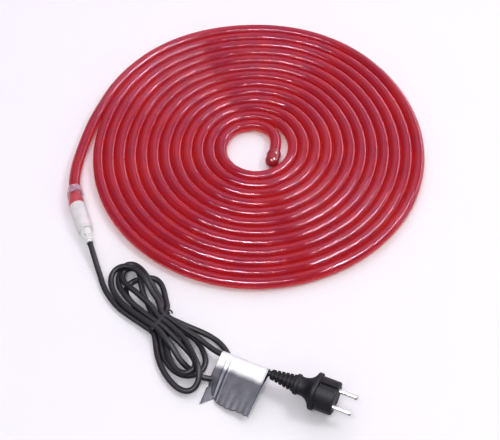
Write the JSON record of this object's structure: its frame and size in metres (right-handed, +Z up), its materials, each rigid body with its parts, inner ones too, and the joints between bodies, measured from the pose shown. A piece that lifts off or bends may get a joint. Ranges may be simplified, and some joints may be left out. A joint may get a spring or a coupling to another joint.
{
  "type": "led rope light",
  "caption": "Red rope light wound in a flat coil, its feed end running into a white connector, a tied hank of black lead and a round two-pin plug.",
  "frame": {"origin": "centre of the plan box of the coil, its feed end and the connector, on the surface that the coil lies on", "axes": "+Z up from that surface, +X across the coil away from the feed end, +Y away from the plug"},
  "size_m": [0.4028, 0.5433, 0.039],
  "materials": {
    "red_rope_pvc": "glossy translucent red extruded PVC with fine cross ribs",
    "red_cap_pvc": "glossy translucent red moulded PVC",
    "clear_shrink_sleeve": "clear shrink tube, glossy and slightly wrinkled",
    "white_connector_plastic": "white moulded plastic with a soft sheen",
    "black_lead_sheath": "black rubbery sheath with a satin sheen",
    "black_tie_plastic": "black plastic-coated wire",
    "silver_label_foil": "blank silver foil film, lightly creased",
    "black_plug_rubber": "matt black moulded rubber",
    "plated_pins": "bright nickel plating"
  },
  "bodies": {
    "root": {"rope_light": "red_rope_pvc", "end_cap": "red_cap_pvc", "clear_sleeve": "clear_shrink_sleeve", "connector_barrel": "white_connector_plastic", "strain_relief": "white_connector_plastic", "lead_from_connector": "black_lead_sheath", "lead_hank": "black_lead_sheath", "lead_outer_loop": "black_lead_sheath", "lead_to_plug": "black_lead_sheath", "twist_tie": "black_tie_plastic", "foil_label": "silver_label_foil", "plug_body": "black_plug_rubber", "plug_pin_1": "plated_pins", "plug_pin_2": "plated_pins"}
  },
  "joints": []
}
